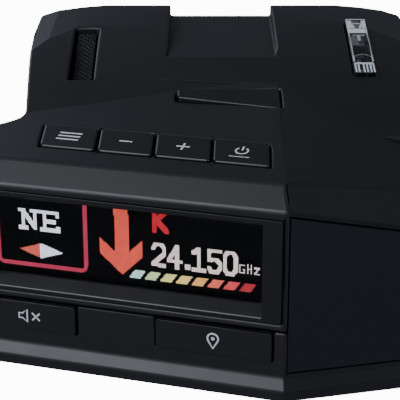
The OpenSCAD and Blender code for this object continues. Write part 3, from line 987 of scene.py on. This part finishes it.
@dataclass
class RearKeys:
    """The two long keys under the display."""

    line: float = 0.24
    proud: float = 0.35
    height: float = 7.2
    mute_middle: float = -34.9
    mark_middle: float = -9.4

    def build(self) -> None:
        """Builds the bars and their pictograms."""
        face = rear_plane(-self.proud * MM)
        for node, body, middle in (("mute_button", "mute_key", self.mute_middle),
                                   ("mark_button", "mark_key", self.mark_middle)):
            softened(node, node.replace("button", "keybar"), Edge.KEY, KEYCAP)
            spot = face.place(np.array([middle * MM, self.height * MM]))
            plane = Plane(spot, face.across, face.up, face.out)
            strokes = self.crossed_speaker() if node == "mute_button" else self.pin()
            print_strokes(body + "_legend", plane, strokes, body)

    def crossed_speaker(self) -> list[Stroke]:
        """A small loudspeaker outline with a cross beside it."""
        w = self.line
        body = [(-1.5, 0.35), (-1.0, 0.35), (-0.35, 0.95), (-0.35, -0.95), (-1.0, -0.35),
                (-1.5, -0.35)]
        return [Stroke(body, w, closed=True), Stroke([(0.35, 0.55), (1.45, -0.55)], w),
                Stroke([(0.35, -0.55), (1.45, 0.55)], w)]

    def pin(self) -> list[Stroke]:
        """A map pin: a ring drawn out to a point below."""
        w = self.line
        return [Stroke(arc(0.72, -38, 218, 26, 0.3) + [(0.0, -1.15)], w, closed=True),
                Stroke(arc(0.16, 0, 342, 16, 0.3), w * 0.8, closed=True)]


def within(flat: np.ndarray, corners: list[tuple[float, float]]) -> np.ndarray:
    """Whether points lie in a polygon, by the even-odd rule.

    Args:
        flat: (N, 2) points.
        corners: the polygon.

    Returns:
        (N,) truth values.
    """
    here = np.array(corners)
    after = np.roll(here, -1, axis=0)
    x, z = flat[:, :1], flat[:, 1:2]
    spans = (here[:, 1] > z) != (after[:, 1] > z)
    rise = np.where(after[:, 1] == here[:, 1], 1e-9, after[:, 1] - here[:, 1])
    cut = here[:, 0] + (z - here[:, 1]) * (after[:, 0] - here[:, 0]) / rise
    return (spans & (x < cut)).sum(1) % 2 == 1


def near_path(flat: np.ndarray, path: list[tuple[float, float]], width: float) -> np.ndarray:
    """Whether points lie within half a width of a path, by distance to its segments.

    Args:
        flat: (N, 2) points.
        path: the path's points.
        width: the line's width.

    Returns:
        (N,) truth values.
    """
    ends = np.array(path)
    start, run = ends[:-1], np.diff(ends, axis=0)
    rel = flat[:, None] - start[None]
    part = np.clip((rel * run).sum(2) / (run * run).sum(1), 0.0, 1.0)
    gap = np.abs(rel - part[..., None] * run)
    return (gap.max(2) < width / 2).any(1)


# Each character is one or more paths in a box one wide and one high.
GLYPHS: dict[str, list[list[tuple[float, float]]]] = {
    "0": [[(0.12, 0.22), (0.12, 0.78), (0.32, 0.97), (0.68, 0.97), (0.88, 0.78), (0.88, 0.22),
           (0.68, 0.03), (0.32, 0.03), (0.12, 0.22)]],
    "1": [[(0.12, 0.78), (0.5, 0.97), (0.5, 0.03)], [(0.1, 0.03), (0.9, 0.03)]],
    "2": [[(0.1, 0.76), (0.3, 0.97), (0.7, 0.97), (0.9, 0.78), (0.86, 0.56), (0.1, 0.05),
           (0.9, 0.03)]],
    "4": [[(0.68, 0.03), (0.68, 0.97), (0.08, 0.3), (0.95, 0.3)]],
    "5": [[(0.86, 0.97), (0.16, 0.97), (0.14, 0.55), (0.65, 0.58), (0.88, 0.42), (0.88, 0.2),
           (0.66, 0.03), (0.3, 0.03), (0.1, 0.18)]],
    "G": [[(0.9, 0.97), (0.1, 0.97), (0.1, 0.03), (0.9, 0.03), (0.9, 0.42), (0.62, 0.42)]],
    "H": [[(0.1, 0.0), (0.1, 1.0)], [(0.9, 0.0), (0.9, 1.0)], [(0.1, 0.52), (0.9, 0.52)]],
    "z": [[(0.1, 0.72), (0.9, 0.72), (0.1, 0.03), (0.9, 0.03)]],
    "K": [[(0.14, 0.0), (0.14, 1.0)], [(0.86, 1.0), (0.3, 0.5), (0.92, 0.0)]],
    "N": [[(0.16, 0.03), (0.16, 0.97), (0.84, 0.06), (0.84, 0.97)], [(-0.02, 0.03), (0.34, 0.03)],
          [(-0.02, 0.97), (0.2, 0.97)], [(0.66, 0.97), (1.02, 0.97)]],
    "E": [[(0.2, 0.03), (0.2, 0.97)], [(0.0, 0.97), (0.95, 0.97), (0.95, 0.84)],
          [(0.2, 0.5), (0.75, 0.5)], [(0.0, 0.03), (0.97, 0.03), (0.97, 0.18)]],
}


@dataclass
class Display:
    """The display window, its frame and the glowing cells behind the glass."""

    pitch: float = 0.152
    left: float = -40.9
    right: float = -3.2
    low: float = 12.7
    high: float = 24.5
    cell: float = 0.86
    inward: float = 2.95
    box_middle: tuple[float, float] = (-34.0, 18.7)
    box_half: tuple[float, float] = (6.5, 5.6)
    box_corner: float = 1.1
    box_line: float = 0.55
    needle: tuple[float, float] = (-34.1, 15.55)
    needle_half: tuple[float, float] = (3.15, 1.1)
    needle_split: float = -34.3
    point: tuple[float, float] = (-13.72, 15.75)
    point_half: float = 0.4
    bar_start: float = -21.75
    bar_step: float = 2.141
    bar_foot: float = 13.3
    bar_head: float = 14.42

    def build(self) -> None:
        """Builds the frame, glass, screen and cells."""
        softened("display_bezel", "display_surround", Edge.FRAME, BEZEL)
        softened("display_window", "display_glass", Edge.CRISP, WINDOW)
        softened("display_module", "display_panel", Edge.CRISP, SCREEN)
        report(self.cells())

    def write(self, flat: np.ndarray, text: str, left: float, base: float, width: float,
              height: float, gap: float, line: float) -> np.ndarray:
        """Marks the cells of a row of characters.

        Args:
            flat: (N, 2) cell centres in millimetres.
            text: the characters.
            left: left end of the first one.
            base: foot of the row.
            width: width of a character.
            height: height of a character.
            gap: space between characters.
            line: line width.

        Returns:
            (N,) truth values.
        """
        lit = np.zeros(len(flat), bool)
        for index, sign in enumerate(text):
            for path in GLYPHS[sign]:
                placed = [(left + index * (width + gap) + x * width, base + z * height)
                          for x, z in path]
                lit |= near_path(flat, placed, line)
        return lit

    def picture(self, flat: np.ndarray) -> np.ndarray:
        """Colours of the cells: boxed compass, arrow, band letter, reading and strength bar.

        Args:
            flat: (N, 2) cell centres in millimetres along the face and up.

        Returns:
            (N, 3) colours, black where a cell is dark.
        """
        colour = np.zeros((len(flat), 3))
        x = flat[:, 0]
        inner = np.array(self.box_half) - self.box_corner
        away = np.abs(flat - np.array(self.box_middle)) - inner
        edge = np.linalg.norm(np.maximum(away, 0.0), axis=1) + np.minimum(away.max(1), 0.0)
        edge -= self.box_corner
        colour[(edge < 0.0) & (edge > -self.box_line)] = (0.42, 0.035, 0.075)
        colour[self.write(flat, "NE", -36.9, 18.65, 2.45, 2.6, 0.5, 0.52)] = (0.92, 0.92, 1.0)
        span = np.abs(flat - np.array(self.needle)) / np.array(self.needle_half)
        needle = span.sum(1) < 1.0
        colour[needle & (x < self.needle_split)] = (0.62, 0.10, 0.07)
        colour[needle & (x >= self.needle_split)] = (0.85, 0.95, 1.0)
        arrow = [(-23.8, 25.0), (-21.8, 25.0), (-21.65, 16.9), (-19.85, 18.75), (-19.85, 16.4),
                 (-22.7, 13.55), (-25.75, 16.3), (-25.75, 18.6), (-23.6, 16.7)]
        colour[within(flat, arrow)] = (0.72, 0.085, 0.055)
        colour[self.write(flat, "K", -18.5, 20.35, 2.2, 2.95, 0.0, 0.62)] = (0.48, 0.02, 0.03)
        cream = (0.80, 0.66, 0.60)
        for sign, left in zip("24150", (-18.6, -16.45, -13.15, -11.05, -8.95)):
            colour[self.write(flat, sign, left, 15.4, 1.95, 3.2, 0.0, 0.5)] = cream
        colour[(np.abs(flat - np.array(self.point)) < self.point_half).all(1)] = cream
        colour[self.write(flat, "GHz", -6.75, 15.9, 0.72, 1.15, 0.26, 0.16)] = (0.70, 0.60, 0.58)
        scale = ((0.50, 0.78, 0.68), (0.56, 0.66, 0.34), (0.78, 0.70, 0.24), (0.85, 0.60, 0.18),
                 (0.85, 0.42, 0.12), (0.72, 0.14, 0.09), (0.62, 0.06, 0.07), (0.36, 0.03, 0.04))
        for index, tone in enumerate(scale):
            foot = self.bar_start + index * self.bar_step
            bar = [(foot, self.bar_foot), (foot + 1.55, self.bar_foot),
                   (foot + 2.3, self.bar_head), (foot + 0.8, self.bar_head)]
            colour[within(flat, bar)] = tone
        return colour

    def cells(self) -> bpy.types.Object:
        """One small square for each lit cell: centre +- half a cell along and up the face.

        Returns:
            The piece with every lit cell and its glow attribute.
        """
        across = np.arange(self.left, self.right, self.pitch)
        rise = np.arange(self.low, self.high, self.pitch)
        flat = np.stack(np.meshgrid(across, rise, indexing="ij"), -1).reshape(-1, 2)
        colour = self.picture(flat)
        lit = colour.sum(1) > 0.0
        flat, colour = flat[lit] * MM, colour[lit]
        half = self.pitch * self.cell / 2 * MM
        corner = np.array([(-1, -1), (1, -1), (1, 1), (-1, 1)]) * half
        points = rear_plane(self.inward * MM).place(flat[:, None] + corner[None])
        faces = np.arange(len(flat) * 4).reshape(-1, 4)
        piece = piece_from("lit_cells", points, faces, smooth=False)
        glow = piece.data.color_attributes.new("glow", "FLOAT_COLOR", "POINT")
        shades = np.concatenate([np.repeat(colour, 4, axis=0), np.ones((len(flat) * 4, 1))], 1)
        glow.data.foreach_set("color", shades.ravel())
        paint(piece, CELLS)
        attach(piece, "case")
        return piece


@dataclass
class Release:
    """The bracket release: button, latch and return spring."""

    turns: float = 5.5
    wire: float = 0.25
    coil: float = 2.2
    flat_end: float = 0.12
    points: int = 220
    sides: int = 10

    def build(self) -> None:
        """Builds the button, latch, bracket slot and spring."""
        softened("release_button", "release_cap", Edge.KEY, KEYCAP)
        softened("release_latch", "latch_tongue", Edge.CRISP, STEEL)
        softened("bracket_socket", "bracket_sleeve", Edge.LENS, CASE)
        report(self.spring())

    def spring(self) -> bpy.types.Object:
        """Helix: centre + coil radius * (cos a, sin a), rising evenly with closed end turns.

        Returns:
            The spring.
        """
        low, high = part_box("release_spring")
        middle = (low + high) / 2
        part = np.linspace(0.0, 1.0, self.points)
        angle = part * self.turns * 2 * math.pi
        rise = np.clip((part - self.flat_end) / (1.0 - 2 * self.flat_end), 0.0, 1.0)
        height = high.z - low.z - 2 * self.wire * MM
        path = np.stack([middle.x + self.coil * MM * np.cos(angle),
                         middle.y + self.coil * MM * np.sin(angle),
                         low.z + self.wire * MM + height * rise], -1)
        spring = tubes("return_spring", path[None], self.wire * MM, self.sides)
        paint(spring, STEEL)
        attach(spring, "case")
        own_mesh(spring)
        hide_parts("release_spring")
        return spring


@dataclass
class SpeakerPort:
    """The slot in the left hump with a woven mesh over the speaker."""

    pitch: float = 0.50
    wire: float = 0.085
    sides: int = 5
    points: int = 15
    first: float = 0.3
    shortest: float = 0.5
    end_lift: float = 0.7
    sway: float = 0.6

    def build(self) -> None:
        """Builds the mesh and its backing."""
        report(self.weave(*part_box("speaker_grille")))
        softened("speaker_grille", "speaker_backing", Edge.CRISP, GRILLE)

    def top(self, y: np.ndarray) -> np.ndarray:
        """Height of the mesh at a distance forward, on the grille's slanted upper face."""
        face = top_plane("speaker_grille", 0.8)
        slope = face.out[1] / face.out[2]
        return face.origin[2] - slope * (y - face.origin[1]) + self.wire * MM

    def weave(self, low: Vector, high: Vector) -> bpy.types.Object:
        """Two sets of wires at 45 degrees, cut off at the sides of the opening.

        A wire's ends lie at offset + x forward, or offset + width - x in the second set,
        and are moved along it until they are inside the opening.

        Args:
            low: lowest corner of the grille.
            high: highest corner of the grille.

        Returns:
            The mesh.
        """
        wide, long, pitch = high.x - low.x, high.y - low.y, self.pitch * MM
        sets = []
        for turn in (1.0, -1.0):
            offset = np.arange(-wide + self.first * pitch, long, pitch)[:, None]
            x = np.array([[0.0, wide]])
            y = offset + (x if turn > 0 else wide - x)
            inside = np.clip(y, 0.0, long)
            x = np.clip(x + turn * (inside - y), 0.0, wide)
            lift = turn * self.wire * self.end_lift * MM * np.sin(math.pi * (x + inside) / pitch)
            ends = np.stack([low.x + x, low.y + inside, self.top(low.y + inside) + lift], -1)
            run = np.linalg.norm(ends[:, 1] - ends[:, 0], axis=1)
            sets.append(ends[run > self.shortest * MM])
        paths = self.swaying(np.concatenate(sets))
        piece = tubes("speaker_mesh", paths, self.wire * MM, self.sides)
        paint(piece, GRILLE)
        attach(piece, "case")
        return piece

    def swaying(self, ends: np.ndarray) -> np.ndarray:
        """Evenly spaced points from end to end, with height + sway * sin(pi * distance / pitch).

        Args:
            ends: (wires, 2, 3) first and last points.

        Returns:
            (wires, points, 3) centre lines.
        """
        part = np.linspace(0.0, 1.0, self.points)[None, :, None]
        paths = ends[:, :1] * (1 - part) + ends[:, 1:] * part
        length = np.linalg.norm(ends[:, 1] - ends[:, 0], axis=1)[:, None]
        turns = part[..., 0] * length / (self.pitch * MM)
        paths[..., 2] += np.sin(turns * math.pi) * self.wire * self.sway * MM
        return paths


@dataclass
class LightReceivers:
    """The clear lens on the right hump and the red one in the nose."""

    side: float = 1.3
    rib: float = 0.24
    ribs: tuple[float, ...] = (-1.3, -0.86, -0.12, 0.36, 0.86, 1.3)

    def build(self) -> None:
        """Builds both lenses and what is frosted in the clear one."""
        softened("rear_laser_lens", "rear_lens", Edge.LENS, CLEAR)
        softened("front_laser_lens", "front_lens", Edge.NOSE_LENS, RUBY)
        self.frosting()

    def frosting(self) -> None:
        """Frosted rims, blocks and ribs that the light guide has under its clear upper face.

        Positions run across the lens in millimetres and along it in parts of its length,
        from the far end at 0 to the near end at 1.
        """
        low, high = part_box("rear_laser_lens")
        face = top_plane("rear_laser_lens", 0.6)
        across = np.array([1.0, 0.0, 0.0])
        out = face.out - across * face.out[0]
        out /= np.linalg.norm(out)
        plane = Plane(np.array([(low.x + high.x) / 2, face.origin[1], face.origin[2]]), across,
                      np.cross(out, across), out)
        steep = abs(plane.up[1])
        far, near = ((end - face.origin[1]) / steep / MM for end in (high.y, low.y))

        def line(width: float, *marks: tuple[float, float]) -> Stroke:
            """One frosted line through marks of (across, part of the length)."""
            return Stroke([(u, far + (near - far) * t) for u, t in marks], width)

        rails = [line(0.20, (-1.36, 0.03), (-1.36, 0.80)), line(0.16, (1.38, 0.03), (1.38, 0.80))]
        hood = [line(0.18, (-1.25, 0.035), (1.25, 0.035)),
                line(0.14, (-1.25, 0.115), (1.25, 0.115)),
                line(0.62, (-1.0, 0.06), (-1.0, 0.20)), line(0.50, (1.05, 0.06), (1.05, 0.20)),
                line(0.34, (-0.72, 0.13), (-0.42, 0.20)), line(0.34, (0.78, 0.13), (0.45, 0.20))]
        block = [line(1.45, (-1.25, 0.252), (1.25, 0.252)),
                 line(0.32, (-0.85, 0.335), (1.0, 0.335)), line(0.52, (0.0, 0.335), (0.0, 0.44))]
        brow = [line(0.12, (-1.2, 0.715), (-0.6, 0.69), (0.1, 0.68), (0.7, 0.69), (1.2, 0.72))]
        foot = [line(0.46, (-self.side, 0.835), (self.side, 0.835))]
        ribs = [line(self.rib, (u, 0.83), (u, 0.985)) for u in self.ribs]
        strokes = rails + hood + block + brow + foot + ribs
        print_strokes("rear_lens_frosting", plane, strokes, "case", FROST)


@dataclass
class SidePanel:
    """The blank gloss panel on the short right-hand face."""

    def build(self) -> None:
        """Builds the panel with finely broken edges."""
        softened("side_panel", "gloss_panel", Edge.PANEL, PANEL)


@dataclass
class Insides:
    """Boards, sockets, sensors and fixings that keep their CAD shape."""

    def build(self) -> None:
        """Dresses every CAD node, those with a finer piece in their place in case black."""
        dress: dict[Finish, tuple[str, ...]] = {
            BOARD: ("display_board", "main_board", "key_board", "switch_board", "sensor_board"),
            RIBBON: ("display_ribbon", "key_board_ribbon"),
            INNER: ("speaker_frame", "speaker_clamp", "power_socket", "audio_jack",
                    "release_guide"),
            CONE: ("speaker_cone",), MAGNET: ("speaker_magnet",), HORN: ("microwave_horn",),
            CHIP: ("rear_laser_sensor", "front_laser_sensor", "processor_chip", "board_chips"),
            STEEL: ("horn_lid", "rf_shield", "update_socket", "board_screws"),
            SWITCH: ("deck_switches", "rear_switches"), CERAMIC: ("gps_antenna",),
            SCREW: ("cover_screws",), LABEL: ("underside_label",)}
        finishes = {node: finish for finish, nodes in dress.items() for node in nodes}
        for node, source in frame["nodes"].items():
            finish = finishes.get(node, CASE)
            paint(source, finish)
            LOG.info("%s: dressed in %s", node, finish.name)


# ---------------------------------------------------------------- studio
@dataclass
class Studio:
    """Pale floor, soft lights and the camera."""

    floor_half: float = 1.6
    sight: tuple[float, float, float] = (-0.0032795, -0.2149353, 0.0919905)
    tilt: float = 22.0
    lens: float = 126.0
    sensor: float = 36.0
    white: float = 12.0
    ambient: float = 0.13
    aim: tuple[float, float, float] = (0.0, 0.0, 0.02)

    def build(self) -> None:
        """Sets up the floor, the surroundings, the lights and the camera."""
        self.floor()
        self.surroundings()
        self.panel("key_panel", (-0.52, -0.50, 0.64), 0.66, 8.4, (0.89, 0.92, 1.0))
        self.panel("cool_panel", (0.62, -0.10, 0.66), 0.50, 0.22, (0.72, 0.85, 1.0))
        self.panel("back_panel", (-0.50, 0.60, 0.40), 0.50, 1.15, (0.80, 0.87, 1.0))
        self.camera()

    def by_sight(self, w: Wiring, hidden: bpy.types.Node, seen: bpy.types.Node,
                 end: bpy.types.NodeSocket) -> None:
        """Shows one shader to the camera and the other to every other ray.

        Args:
            w: the wiring of the material or world.
            hidden: the shader that lights and is reflected.
            seen: the shader that the camera sees.
            end: the socket of the output node.
        """
        choose = w.add("MixShader")
        w.link(w.add("LightPath").outputs["Is Camera Ray"], choose.inputs[0])
        w.link(hidden.outputs[0], choose.inputs[1])
        w.link(seen.outputs[0], choose.inputs[2])
        w.link(choose.outputs[0], end)

    def floor(self) -> None:
        """A large plain sheet, pale to the camera and calmer in reflections."""
        corners = np.array([(-1, -1, 0), (1, -1, 0), (1, 1, 0), (-1, 1, 0)]) * self.floor_half
        sheet = piece_from("floor", corners, [[0, 1, 2, 3]], smooth=False)
        material = bpy.data.materials.new("pale_floor")
        material.use_nodes = True
        tree = material.node_tree
        w = Wiring(tree)
        tree.nodes.remove(tree.nodes["Principled BSDF"])
        pale = w.add("BsdfDiffuse")
        settle(pale, {"Color": (0.86, 0.86, 0.87, 1)})
        lift = w.add("Emission")
        settle(lift, {"Strength": self.white})
        both = w.add("AddShader")
        w.link(pale.outputs[0], both.inputs[0])
        w.link(lift.outputs[0], both.inputs[1])
        calm = w.add("BsdfDiffuse")
        settle(calm, {"Color": (0.35, 0.36, 0.38, 1)})
        self.by_sight(w, calm, both, tree.nodes["Material Output"].inputs["Surface"])
        sheet.data.materials.append(material)

    def surroundings(self) -> None:
        """An even white backdrop that lights the object only faintly."""
        world = bpy.data.worlds.new("studio")
        bpy.context.scene.world = world
        world.use_nodes = True
        tree = world.node_tree
        w = Wiring(tree)
        faint = tree.nodes["Background"]
        settle(faint, {"Color": (0.80, 0.86, 1.0, 1), "Strength": self.ambient})
        white = w.add("Background")
        settle(white, {"Color": (1, 1, 1, 1), "Strength": self.white})
        self.by_sight(w, faint, white, tree.nodes["World Output"].inputs["Surface"])

    def panel(self, name: str, place: tuple[float, float, float], size: float,
              power: float, colour: Colour) -> None:
        """Hangs a square soft light that faces the object.

        Args:
            name: the light's name.
            place: where it hangs.
            size: its side in metres.
            power: its power in watts.
            colour: its colour.
        """
        light = bpy.data.lights.new(name, "AREA")
        light.size, light.energy, light.color = size, power, colour
        lamp = bpy.data.objects.new(name, light)
        lamp.location = place
        toward = Vector(self.aim) - Vector(place)
        lamp.rotation_euler = toward.to_track_quat("-Z", "Y").to_euler()
        bpy.context.scene.collection.objects.link(lamp)

    def camera(self) -> None:
        """Looks forward and down on the rear of the detector."""
        lens = bpy.data.cameras.new("camera")
        lens.sensor_width, lens.lens = self.sensor, self.lens
        view = bpy.data.objects.new("camera", lens)
        view.location = self.sight
        view.rotation_euler = (math.radians(90.0 - self.tilt), 0.0, 0.0)
        bpy.context.scene.collection.objects.link(view)
        bpy.context.scene.camera = view


def main() -> None:
    """Builds the studio, then each sub-assembly in order."""
    logging.basicConfig(level=logging.INFO, format="%(message)s")
    Studio().build()
    for assembly in (CaseShells(), Display(), SidePanel(), DeckKeys(), RearKeys(), Release(),
                     SpeakerPort(), LightReceivers(), Insides()):
        assembly.build()


if __name__ == "__main__":
    main()
